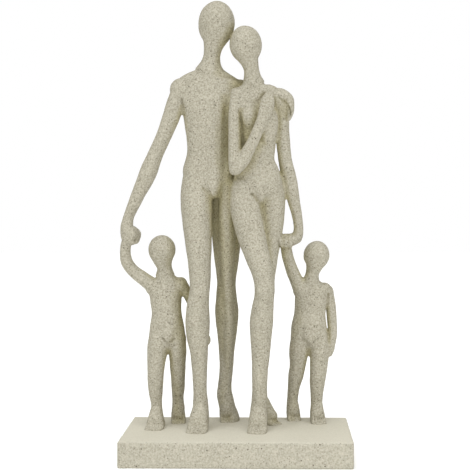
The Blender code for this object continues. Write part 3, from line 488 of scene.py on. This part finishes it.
def woman(bm):
    # Head, which leans towards the man's, and the long neck.
    lump(bm, (6, 2, 286.2), (12.2, 13.4, 14.2), lean=-10)
    limb(bm, (6, 2, 286.6, 12, 13.2), (6.4, 2, 282.4, 10.9, 12.2), (7.3, 2.2, 278.4, 9, 10.6),
         (8.8, 2.5, 274, 6.9, 8.5), (10.2, 3.2, 268.5, 5.8, 6.7), (10.9, 3.8, 263, 6.6, 6.8),
         (11.6, 4, 258.5, 8.6, 7))
    # Shoulders, rib cage, waist and pelvis.
    limb(bm, (12.6, 4, 255, 7, 4.6), (13.4, 4, 252.4, 15.6, 6), (13.8, 4.2, 248, 18, 7.2),
         (14, 4.6, 239.5, 16.4, 8), (13.2, 5, 224, 16.6, 7.8), (12.4, 5.2, 210, 15.8, 7.6),
         (12.6, 5.2, 199.5, 15, 8), (14.2, 5.4, 190, 17.4, 9.2), (14.8, 5.6, 181, 19.2, 10.4))
    limb(bm, (9, 3.6, 255.6, 3.4, 4.8), (4, 2.4, 252.2, 4.4, 5.6), (-0.8, 0.6, 247.4, 5.2, 6.2))
    limb(bm, (-1.6, -0.6, 246, 4.6, 5.2), (5, -0.4, 245.6, 4.6, 5.2), (11, 0.4, 245.6, 4.6, 5.2))
    limb(bm, (-2, -1.2, 240.6, 3.8, 5.6), (4.4, -0.8, 240.8, 3.6, 5.2), (10, 0, 241, 3.6, 4.8))
    lump(bm, (3, 0.4, 244), (6.6, 5.2, 9.6), lean=10)
    lump(bm, (8.8, -0.9, 233), (7, 5, 10), lean=-6)
    lump(bm, (22.7, -1.1, 227), (7.6, 5.8, 15), lean=4)
    for side in (-1, 1):
        lump(bm, (14.4 + side * 7.5, 10, 242), (7, 3.2, 11), lean=-side * 10)
    lump(bm, (5.2, 11.6, 176), (10.2, 8, 12))
    lump(bm, (23.9, 13.6, 178), (10.6, 8.4, 15), lean=6)
    # Lower belly, a wedge that runs down between the thighs.
    limb(bm, (14.6, 4.6, 197, 11, 8.2), (15.4, 4.4, 190, 12, 9), (16.8, 4.2, 183, 11, 9.9),
         (17, 4.1, 177.4, 7.4, 10.3), (16.9, 4.6, 172.6, 3.4, 9.2))
    # Right leg, which steps forward across the left one, and its foot.
    limb(bm, (5.6, 4.4, 180, 11, 10.4), (5.2, 3.6, 169, 11.6, 12), (7.2, 2.2, 158, 11.6, 12),
         (10.3, 0, 144.5, 10.8, 11), (14.3, -2.4, 131, 9.5, 9.8), (18.2, -3.8, 118, 8.1, 8.8),
         (19.9, -4.2, 108, 7.5, 8.2), (19.7, -3.6, 99.5, 7.5, 7.8), (18.5, -1.6, 89, 8.5, 8.8),
         (17.6, 0, 79, 8.9, 9.4), (17.2, 0.8, 66, 7.8, 8.4), (16.8, 0.8, 51, 6.6, 7),
         (16.4, 0.8, 35.5, 5.9, 6.2), (16.2, 1.2, 24, 5.9, 6.4), (15.8, 1.4, 15, 6.4, 7),
         (15.4, 1, 8, 6.6, 7.4))
    limb(bm, (11.4, 0.6, 171, 4.6, 7.2), (13.2, -0.4, 158, 4.6, 7), (16, -2, 145, 4.4, 6.6),
         (18.8, -3.4, 131, 4.2, 6), (20.8, -4.4, 118, 3.8, 5.4))
    lump(bm, (19.6, -9, 104.5), (6, 3.4, 8.6))
    foot(bm, (15.9, 1.2, 15, 6.3, 6.8), (17, 9), (13.8, -17), 7.9)
    # Left leg, behind, on a foot turned outward.
    limb(bm, (20.6, 7.4, 194, 9, 8), (23.4, 9.2, 184, 10.2, 9.2), (24.8, 11.6, 174, 10.8, 10.2),
         (24.6, 13.6, 158, 10.3, 10),
         (23.4, 14.8, 142, 9.2, 9.4), (21.8, 15, 126, 7.9, 8.8), (20.4, 14.4, 111, 7.4, 8),
         (20.3, 14, 102, 7.4, 7.6), (19.8, 16, 89, 6.8, 8.2), (19.4, 17.6, 77, 6.6, 8.2),
         (19, 19.5, 58, 5.4, 6.6), (18.2, 21.5, 40, 4.2, 5.4), (17.4, 22.5, 24, 4.4, 5.6),
         (17.8, 22.4, 14, 5, 6.2), (18.6, 21.6, 8, 5.2, 6.4))
    foot(bm, (18, 21.8, 15.4, 5.2, 6.2), (13.2, 27.6), (30.6, 13), 6.4)
    limb(bm, (19, 21.6, 17, 4, 5), (22.4, 20, 11, 3.8, 4.6), (26, 17.6, 6, 4, 4.4))
    # Right arm, folded up across the breast, with the hand flat on the left shoulder.
    lump(bm, (-0.8, 0.6, 248), (6.1, 6.6, 6.8))
    limb(bm, (-1.4, -0.4, 247, 5.7, 6), (-2.7, -1.6, 238, 5.4, 5.6), (-2.9, -2.8, 227, 5.4, 5.5),
         (-2.5, -3.8, 212, 5.5, 5.5), (-2.2, -4.8, 200, 5.6, 5.5), (-1.4, -5.4, 194.4, 5.5, 5.4))
    limb(bm, (-1, -5.8, 194, 5, 5.2), (4.1, -7.2, 200, 5.2, 5), (7.7, -8, 206.4, 4.8, 4.8),
         (12, -8.6, 214.9, 4.4, 4.6), (16, -8.8, 223.8, 4.4, 4.4), (19.2, -8.4, 231.6, 4.8, 4.2),
         (21.4, -7.8, 238.2, 5.6, 3.8), (22.4, -6.6, 243.8, 5.4, 3.4), (23.4, -5, 248.2, 3.6, 2.8))
    # Left arm, down to the other child's hand.
    lump(bm, (30.6, 4.6, 245), (6.4, 6.6, 7.2))
    limb(bm, (32.4, 6, 243, 5.8, 6), (33.4, 8, 231.5, 5, 5.6), (33.6, 9.6, 217, 5.4, 5.4),
         (35.2, 11, 202, 5.3, 5.3), (37.8, 12, 190, 5.8, 5.3), (39.5, 12.8, 182.5, 5.6, 5.2),
         (41.2, 13.8, 173.5, 5.1, 5), (44, 15.4, 161.7, 4.2, 4.5), (45.2, 16.8, 154.5, 3.9, 4.2),
         (45.6, 17.5, 148.5, 4, 4.2), (44.8, 18, 144.2, 4.4, 4.8))
    limb(bm, (44, 18, 142.2, 4.4, 5.2), (39, 18, 140.8, 5.2, 6), (34.4, 18, 140.4, 5.2, 5.4))
    for k in range(3):
        limb(bm, (32 + 3.5 * k, 14, 144, 1.9, 1.9), (31.8 + 3.5 * k, 11.6, 140.2, 2, 1.9),
             (32.2 + 3.5 * k, 12.8, 136.2, 1.8, 1.8))


def left_child(bm):
    # Round head on a short neck.
    lump(bm, (-58.2, 15, 133.4), (10.5, 11.2, 11.4))
    limb(bm, (-58.2, 15, 133, 10.3, 11), (-58, 15, 129.4, 9.5, 10.2), (-57.4, 15.3, 124.8, 7.5, 8.3),
         (-56.4, 16, 119.5, 5.6, 6.2), (-56, 16, 114.6, 7.4, 6.2))
    # Trunk.
    limb(bm, (-55.8, 16, 113.5, 6.4, 5), (-55.4, 16, 109.5, 12, 6.2), (-55.9, 16, 104, 13.2, 7.4),
         (-55.5, 16, 96, 12.3, 8.4), (-54.9, 16, 86, 11.6, 8.2), (-54.7, 15.8, 75, 13.2, 8.6),
         (-54.5, 16, 65, 14.4, 9))
    lump(bm, (-54.4, 12.6, 78), (10.6, 6, 12.5))
    for side in (-1, 1):
        lump(bm, (-54.4 + side * 6.4, 20.8, 61.5), (7.2, 6, 8.4))
    limb(bm, (-54, 15.6, 76, 9, 8), (-53.6, 15, 70, 8.4, 8.9), (-53.2, 14.8, 66, 6, 9.1),
         (-52.9, 15, 62.6, 3, 8.2))
    # Legs and feet.
    limb(bm, (-61.2, 15.6, 66, 7.6, 8.4), (-61.8, 14.6, 57, 8.1, 8.6), (-62.6, 12.6, 46, 6.9, 7.6),
         (-62.9, 10.8, 35, 6.2, 6.6), (-62.7, 10.4, 25, 5.3, 6.2), (-62.1, 10.2, 16.5, 4.3, 5.2),
         (-61.8, 9.4, 9, 4.8, 5.6))
    foot(bm, (-62, 9.8, 13, 4.4, 5.4), (-59.8, 15), (-63.4, -6.8), 7.6)
    limb(bm, (-47.4, 17, 66, 7.4, 8.4), (-46.9, 18, 56, 7, 8.4), (-47, 20, 45, 6.2, 7.4),
         (-46.9, 21.4, 35, 5.6, 6.6), (-47.1, 23.6, 26.5, 5.3, 6), (-47.4, 25.4, 18, 4.5, 5),
         (-47, 25.4, 10, 5.2, 5.8))
    foot(bm, (-47.1, 25.4, 13, 4.8, 5.4), (-47.4, 31.5), (-46.3, 16.2), 6.2)
    # Right arm, raised into the man's fist.
    lump(bm, (-64.8, 15.6, 104.8), (6.6, 6.2, 6.8))
    limb(bm, (-65, 15.4, 105.8, 6, 5.6), (-73, 14.6, 111.8, 5.3, 4.7), (-79.4, 13.4, 117, 4.9, 4.4),
         (-84, 12.3, 123.2, 4.7, 4.2), (-85.6, 11.5, 130, 4.3, 4), (-85.2, 10.8, 136.5, 4.1, 4),
         (-83.6, 10.4, 142, 4, 4.4))
    # Left arm, behind the man's knee.
    lump(bm, (-44.2, 17, 106.4), (5.4, 6, 6.4))
    limb(bm, (-42.6, 17.4, 105.4, 4.6, 5.2), (-39.2, 18.6, 99.6, 4.1, 4.8), (-36, 19.8, 93, 3.9, 4.4),
         (-32.6, 20.6, 83, 3.7, 4), (-29, 20.2, 73, 3.4, 3.6), (-24.8, 17.6, 66, 2.8, 3.6))
    lump(bm, (-23.8, 15.8, 64.6), (2.6, 3.6, 4.2))


def right_child(bm):
    # Round head, tipped away from the woman, on a short neck.
    lump(bm, (59.6, 27, 128.8), (10.2, 11, 11.2), lean=10)
    limb(bm, (59.5, 27, 128.4, 10, 10.8), (58.9, 27, 124.6, 8.8, 10), (57.7, 27.4, 119.8, 6.6, 8),
         (56.4, 28, 114.6, 5.3, 6), (55.6, 28, 109.6, 6.4, 6))
    # Trunk.
    limb(bm, (55.4, 28, 109, 6, 5), (55.6, 28, 105, 11.4, 6.2), (55.6, 28, 99, 12.6, 7.2),
         (55.1, 28, 92, 12.4, 8.2), (54.6, 28, 83, 12.4, 8), (54, 27.8, 73.5, 14, 8.4),
         (54, 28, 64.5, 14.6, 8.8))
    lump(bm, (54.8, 24.6, 76), (10.6, 6, 12.5))
    for side in (-1, 1):
        lump(bm, (54 + side * 6.6, 32.4, 61), (7.2, 5.8, 8.2))
    limb(bm, (54.4, 27.6, 75, 9, 7.8), (54.4, 27, 68.5, 8.4, 8.7), (54.4, 26.8, 64, 6, 9),
         (54.4, 27, 60.4, 3, 8.2))
    # Legs and feet.
    limb(bm, (47.2, 28.4, 64, 7.6, 8.2), (46.2, 28.8, 54.5, 7.8, 8.2), (45.2, 30, 43.5, 6.4, 7.2),
         (43.6, 31.2, 34, 6, 6.4), (42.2, 33, 25.5, 4.7, 5.8), (41.2, 34, 15, 4.4, 5),
         (41.4, 33.6, 9, 5, 5.6))
    foot(bm, (41.3, 33.8, 13, 4.5, 5.2), (39.8, 39.4), (43.6, 26.6), 5.9)
    limb(bm, (61, 28, 64, 7.4, 8.2), (61.8, 27.4, 54, 7.6, 8.2), (61.5, 26.4, 44, 7, 7.4),
         (60.6, 25.6, 34, 6.3, 6.6), (60, 26, 24.5, 5.4, 6.2), (59.8, 26.4, 15, 4.6, 5.2),
         (60, 26, 9, 5, 5.8))
    foot(bm, (59.9, 26.2, 13, 4.7, 5.4), (58.2, 32), (62.2, 16.6), 6.4)
    # Right arm, raised into the woman's hand.
    lump(bm, (47.2, 27.6, 102), (6, 6.2, 6.8))
    limb(bm, (46.9, 27.4, 103, 5.8, 5.6), (43.9, 26.6, 110, 5.3, 5), (40.6, 25, 117.6, 4.9, 4.7),
         (37.9, 22.6, 126, 4.6, 4.4), (36.2, 20, 134, 4.4, 4.4), (36, 18.6, 139, 4.4, 4.4))
    # Left arm, hanging at the side.
    lump(bm, (66, 28.4, 101.4), (5.6, 6, 6.4))
    limb(bm, (68.4, 30.4, 101, 4.6, 5), (70.6, 32.4, 91, 4.1, 4.6), (71.6, 32.6, 80, 4, 4.4),
         (72.4, 31, 69, 3.7, 4), (71.8, 29, 61.4, 3.1, 3.6), (70.9, 27.6, 56, 2.8, 4),
         (70, 26.4, 52.4, 2, 2.8))


# Creases pressed into the clay: how far to each side, how deep, and the places each runs through. The last
# two are the children's navels.
CREASES = (
    (1.2, 2.2, (-25.8, 1, 180.2), (-22.4, 0, 177.3), (-19, 1, 173), (-16.8, 0, 173.4),
     (-13.6, 0, 175.7), (-10.9, 1, 179.5), (-9, 2, 183.2), (-8.2, 3, 187)),
    (1.6, 2.0, (-18, 4, 172.6), (-18.4, 8, 160), (-18.2, 10, 146)),
    (1.2, 2.2, (10.6, -5, 175.8), (13, -6, 174), (15, -5, 170.6), (16.6, -5, 168.4), (18, -5, 169),
     (20.2, -5, 171.4), (22.6, -5, 173.8), (24.8, -4, 176.6)),
    (1.5, 2.0, (17.4, -1, 168), (19, 1, 158), (21.4, 1, 147), (23.4, 2, 136), (25.4, 3, 126)),
    (1.1, 1.6, (-57.2, 7, 66.8), (-55.4, 6, 64.8), (-52.8, 6, 62.2), (-50, 7, 64.4), (-48.4, 8, 66.4)),
    (1.1, 1.6, (48.4, 19, 65.4), (51.4, 18, 62.6), (54.4, 18, 59.8), (57.8, 18, 62.4), (61, 19, 65.4)),
    (1.1, 3.0, (27.8, -3, 253.2), (29.3, -3, 251), (29.5, -3, 248.8), (31.6, -3, 246.2),
     (34.6, -2, 243.8), (37.1, -2, 240.8), (39, -1, 237.4), (39.4, 0, 234)),
    (1.2, 1.8, (15.6, -5, 244), (17.6, -4, 247.4), (20, -3, 250)),
    (1.4, 2.8, (2.0, -3, 235.4), (2.7, -3, 229), (3.6, -2, 219), (4.3, -1, 211)),
    (1.3, 2.0, (-41.8, 4, 246), (-41, 5, 240), (-40.8, 7, 234.6)),
    (1.1, 1.8, (-79.4, 4, 151.6), (-76.4, 5, 148.4), (-75.4, 5, 144.4), (-77, 5, 140.4)),
    (1.1, 2.0, (-87.4, 3, 140.6), (-85, 3, 138.4), (-81.6, 4, 136.8)),
    (1.1, 2.0, (30.3, 13, 145.4), (30.1, 11, 140.6), (30.8, 12, 136.4), (32.8, 13, 133.6)),
    (1.3, 2.6, (69, 24, 99), (67.6, 25, 88), (67.9, 25, 75), (69.3, 25, 65)),
    (5.5, 2.2, (-8, 2, 248), (-8.2, 2, 226), (-8.4, 2, 206), (-9, 2, 194)),
    (3.2, 1.4, (-21, 24, 256), (-20.4, 25, 236), (-20.4, 24, 210), (-20, 24, 192)),
    (2.6, 1.2, (14.4, 11, 250), (14.4, 13, 232), (14, 13, 210), (14.4, 15, 190)),
    (2.2, 1.6, (-20, 26, 186), (-19.8, 27, 176), (-19.6, 26, 166)),
    (2.0, 1.4, (14.6, 19, 184), (14.6, 20, 176), (14.8, 19, 167)),
    (1.5, 0.9, (-54.4, 26, 67), (-54.4, 27, 61), (-54.2, 26, 55)),
    (1.5, 0.9, (54, 37, 66), (54, 38, 61), (54, 37, 55)),
    (0.9, 0.9, (-51.8, 7, 78.8), (-51.8, 7, 78.0)),
    (0.9, 0.9, (57.6, 19, 75.2), (57.6, 19, 74.4)),
)

# How a crease fades from its middle, and how much x, y and z count in the distance to it, where it is seen
# from the front and from above.
CREASE_FALL = 1.5
FRONT = (1.0, 0.3, 1.0)
ABOVE = (1.0, 1.0, 0.3)

# The lines between the toes, as deep and as far to each side as TOE_LINE. In shares of the half width
# across the toes: how far apart their tips and roots are, and how far ahead and back they reach.
TOE_LINE = 1.2
TOE_TIPS, TOE_ROOTS = 0.36, 0.4
TOE_AHEAD, TOE_BACK = 0.18, 0.62
TOE_ROOT_RISE, TOE_TIP_RISE, TOE_END_RISE = 4.2, 2.0, 0.2


def closeness(spots, reach, path, near=FRONT):
    """How near each spot is to path: 1 on it, 0 from reach on. near says how much each axis counts in the
    distance, because the path only has to be near the skin in the direction that it is seen from."""
    near = np.array(near)
    away = np.full(len(spots), np.inf)
    for start, end in zip(path, path[1:]):
        start = np.array(start) * near
        run = np.array(end) * near - start
        offset = spots / MM * near - start
        share = np.clip(offset @ run / (run @ run), 0, 1)
        away = np.minimum(away, np.linalg.norm(offset - share[:, None] * run, axis=1))
    return np.clip(1 - away / reach, 0, 1) ** CREASE_FALL


def toe_lines(heel, toe, width):
    """The four lines between the toes of a foot, on its upper side."""
    ahead = (toe - heel).normalized()
    side = Vector((-ahead.y, ahead.x, 0))
    for k in (-1.5, -0.5, 0.5, 1.5):
        tip = toe + side * (TOE_TIPS * width * k) + ahead * (TOE_AHEAD * width)
        root = toe + side * (TOE_ROOTS * width * k) - ahead * (TOE_BACK * width)
        end = tip + ahead
        yield (root.x, root.y, TOE_ROOT_RISE), (tip.x, tip.y, TOE_TIP_RISE), (end.x, end.y, TOE_END_RISE)


def taken(piece):
    """The mesh of piece with its modifiers applied."""
    bpy.context.view_layer.update()
    return bpy.data.meshes.new_from_object(piece.evaluated_get(bpy.context.evaluated_depsgraph_get()))


def modelled_skin():
    """The limbs fused into one skin, smoothed as wet clay is and not yet creased."""
    clay = bmesh.new()
    for figure in (man, woman, left_child, right_child):
        figure(clay)
    bmesh.ops.recalc_face_normals(clay, faces=clay.faces)
    rough_mesh = bpy.data.meshes.new("clay")
    clay.to_mesh(rough_mesh)
    clay.free()
    rough = bpy.data.objects.new("clay", rough_mesh)
    bpy.context.scene.collection.objects.link(rough)
    fuse = rough.modifiers.new("fuse", "REMESH")
    fuse.mode = "VOXEL"
    fuse.voxel_size = SKIN_VOXEL
    ease = rough.modifiers.new("ease", "SMOOTH")
    ease.factor = 0.5
    ease.iterations = SKIN_SMOOTHING
    skin = taken(rough)
    bpy.data.objects.remove(rough, do_unlink=True)
    return skin


def corners_of(skin):
    """The places and the normals of the skin's corners."""
    count = len(skin.vertices)
    spots = np.empty(count * 3)
    skin.vertices.foreach_get("co", spots)
    normals = np.empty(count * 3)
    skin.vertex_normals.foreach_get("vector", normals)
    return spots.reshape(count, 3), normals.reshape(count, 3)


def carve(skin):
    """Presses the creases and the lines between the toes, then gives the skin its hand-made unevenness."""
    spots, normals = corners_of(skin)
    for reach, depth, *path in CREASES:
        sink = closeness(spots, reach, path) * depth * MM
        spots = spots - normals * sink[:, None]
    for heel, toe, width in feet:
        for path in toe_lines(heel, toe, width):
            sink = closeness(spots, TOE_LINE, path, near=ABOVE) * TOE_LINE * MM
            spots = spots - normals * sink[:, None]
    lumps = [sum(noise.noise(Vector(spot) * often) * high for often, high in HAND_LUMPS) - SANDED_OFF
             for spot in spots]
    spots = spots + normals * np.array(lumps)[:, None]
    skin.vertices.foreach_set("co", spots.reshape(-1))
    skin.update()


def paint_crease_shade(skin):
    """Painted shade darkening the narrow creases, apart from those of the back."""
    spots, normals = corners_of(skin)
    amount = np.zeros(len(spots))
    for reach, depth, *path in CREASES:
        if reach < BROAD:
            amount = np.maximum(amount, closeness(spots, reach, path))
    amount[normals[:, 1] > 0.5] = 0
    skin.attributes.new("crease_shade", "FLOAT", "POINT").data.foreach_set("value", amount)


def paint_recess_shade(skin):
    """Painted shade: an olive darkening, stronger the more of a place's outlook the casting itself blocks.
    """
    spots, normals = corners_of(skin)
    tree = BVHTree.FromPolygons(spots.tolist(), [face.vertices[:] for face in skin.polygons])
    blocked = np.zeros(len(spots))
    tried = np.zeros(len(spots))
    for k in range(SHELTER_WAYS):
        rise = 1 - (2 * k + 1) / SHELTER_WAYS
        across = math.sqrt(1 - rise * rise)
        turn = GOLDEN_TURN * k
        way = Vector((across * math.cos(turn), across * math.sin(turn), rise))
        for index in np.nonzero(normals @ np.array(way) > SHELTER_SLANT)[0]:
            start = Vector(spots[index] + normals[index] * SKIN_VOXEL)
            tried[index] += 1
            if tree.ray_cast(start, way, SHELTER_REACH)[0] is not None:
                blocked[index] += 1
    shelter = blocked / np.maximum(tried, 1)
    ends = np.empty(len(skin.edges) * 2, int)
    skin.edges.foreach_get("vertices", ends)
    ends = ends.reshape(-1, 2)
    for _ in range(SHADE_EASING):
        total = shelter.copy()
        count = np.ones(len(spots))
        for near, far in ((0, 1), (1, 0)):
            np.add.at(total, ends[:, near], shelter[ends[:, far]])
            np.add.at(count, ends[:, near], 1)
        shelter = total / count
    amount = np.clip((shelter - SHELTER_LEAST) / (SHELTER_MOST - SHELTER_LEAST), 0, 1)
    skin.attributes.new("recess_shade", "FLOAT", "POINT").data.foreach_set("value", amount)


def cut_soles(skin, height):
    """Cuts the skin flat at height and closes the soles."""
    bm = bmesh.new()
    bm.from_mesh(skin)
    everything = [*bm.verts, *bm.edges, *bm.faces]
    cut = bmesh.ops.bisect_plane(bm, geom=everything, plane_co=(0, 0, height), plane_no=(0, 0, 1),
                                 clear_inner=True)
    rim = [edge for edge in cut["geom_cut"] if isinstance(edge, bmesh.types.BMEdge)]
    bmesh.ops.triangle_fill(bm, edges=rim, use_beauty=True)
    bmesh.ops.recalc_face_normals(bm, faces=bm.faces)
    bm.to_mesh(skin)
    bm.free()


skin = modelled_skin()
carve(skin)
figures = bpy.data.objects.new("family_casting", skin)
bpy.context.scene.collection.objects.link(figures)
thin = figures.modifiers.new("thin", "DECIMATE")
thin.ratio = min(1.0, SKIN_TRIANGLES / sum(len(face.vertices) - 2 for face in skin.polygons))
figures.data = taken(figures)
figures.modifiers.clear()
# Painted shade in the narrow creases.
paint_crease_shade(figures.data)
# Painted shade in the sheltered recesses.
paint_recess_shade(figures.data)
cut_soles(figures.data, -SOLE_SINK)
figures.data.transform(Matrix.Translation((0, 0, PLINTH_TOP)))
figures.data.shade_smooth()
figures.data.materials.append(sandy_stone("sandy_stone_figures", STONE_LIGHT, STONE_DARK, STONE_GRIT))
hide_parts("family_figures")
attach(figures, "root")


# Floor
# A plain white light table, lit faintly from below, wide enough to fill the view.

FLOOR_WHITE = (0.93, 0.93, 0.925)
FLOOR_REACH = 3.0
FLOOR_DROP = 0.0002
FLOOR_MATT = 0.9
FLOOR_GLOW = 0.16

floor_mesh = bpy.data.meshes.new("floor")
ends = ((-1, -1), (1, -1), (1, 1), (-1, 1))
floor_corners = [(x * FLOOR_REACH, y * FLOOR_REACH, -FLOOR_DROP) for x, y in ends]
floor_mesh.from_pydata(floor_corners, [], [(0, 1, 2, 3)])
floor = bpy.data.objects.new("floor", floor_mesh)
paint = bpy.data.materials.new("white_table")
paint.use_nodes = True
coat = paint.node_tree.nodes["Principled BSDF"].inputs
coat["Base Color"].default_value = (*FLOOR_WHITE, 1)
coat["Roughness"].default_value = FLOOR_MATT
coat["Emission Color"].default_value = (1, 1, 1, 1)
coat["Emission Strength"].default_value = FLOOR_GLOW
floor_mesh.materials.append(paint)
bpy.context.scene.collection.objects.link(floor)


# Lights
# A white room: soft light from overhead, a soft box on each side, one behind the camera and one behind
# the group, and a weak warm light all round. The camera sees plain white behind the group.

DAYLIGHT = (0.985, 1.0, 1.05)
ROOM_LIGHT = (0.300, 0.290, 0.236, 1)
ROOM_WHITE = (1, 1, 1, 1)
CEILING_LIGHT = 2.35
CEILING_SPREAD = math.radians(60)
CEILING_LEAN = (math.radians(15), math.radians(-5), 0)

# The soft boxes: their place, the point that they face, the length of their sides and their watts.
SOFT_BOXES = {
    "left_box": ((-0.9, -0.8, 0.85), (0, 0, 0.17), 0.7, 1.9),
    "right_box": ((0.9, -0.9, 0.6), (0, 0, 0.17), 0.7, 3.6),
    "front_box": ((0.03, -1.5, 0.4), (0, 0, 0.15), 0.7, 3.75),
    "rear_box": ((0.2, 1.4, 0.9), (0, 0, 0.17), 0.8, 2.4),
}

for name, (place, aim, side, watts) in SOFT_BOXES.items():
    lamp = bpy.data.lights.new(name, "AREA")
    lamp.shape = "SQUARE"
    lamp.size = side
    lamp.energy = watts
    lamp.color = DAYLIGHT
    box = bpy.data.objects.new(name, lamp)
    box.location = place
    box.rotation_euler = (Vector(place) - Vector(aim)).to_track_quat("Z", "Y").to_euler()
    bpy.context.scene.collection.objects.link(box)

ceiling = bpy.data.lights.new("ceiling", "SUN")
ceiling.energy = CEILING_LIGHT
ceiling.color = DAYLIGHT
ceiling.angle = CEILING_SPREAD
ceiling_object = bpy.data.objects.new("ceiling", ceiling)
ceiling_object.rotation_euler = CEILING_LEAN
bpy.context.scene.collection.objects.link(ceiling_object)

room = bpy.data.worlds.new("white_room")
bpy.context.scene.world = room
room.use_nodes = True
background = room.node_tree.nodes["Background"]
sight = room.node_tree.nodes.new("ShaderNodeLightPath")
choice = room.node_tree.nodes.new("ShaderNodeMix")
choice.data_type = "RGBA"
choice.inputs["A"].default_value = ROOM_LIGHT
choice.inputs["B"].default_value = ROOM_WHITE
room.node_tree.links.new(sight.outputs["Is Camera Ray"], choice.inputs["Factor"])
room.node_tree.links.new(choice.outputs["Result"], background.inputs["Color"])
bpy.context.scene.view_settings.view_transform = "Standard"


# Camera
# A little above the figures' middle and to the right of it, looking slightly down and left.

CAMERA_PLACE = (0.0320, -0.7499, 0.1881)
CAMERA_DIP = 1.829
CAMERA_TURN = 0.993
LENS = 77.3
FILM_WIDTH = 36
LENS_SHIFT = -0.06

camera_data = bpy.data.cameras.new("camera")
camera_data.sensor_width = FILM_WIDTH
camera_data.lens = LENS
camera_data.shift_x = LENS_SHIFT
camera = bpy.data.objects.new("camera", camera_data)
camera.location = CAMERA_PLACE
camera.rotation_euler = (math.radians(90 - CAMERA_DIP), 0, math.radians(CAMERA_TURN))
bpy.context.scene.collection.objects.link(camera)
bpy.context.scene.camera = camera
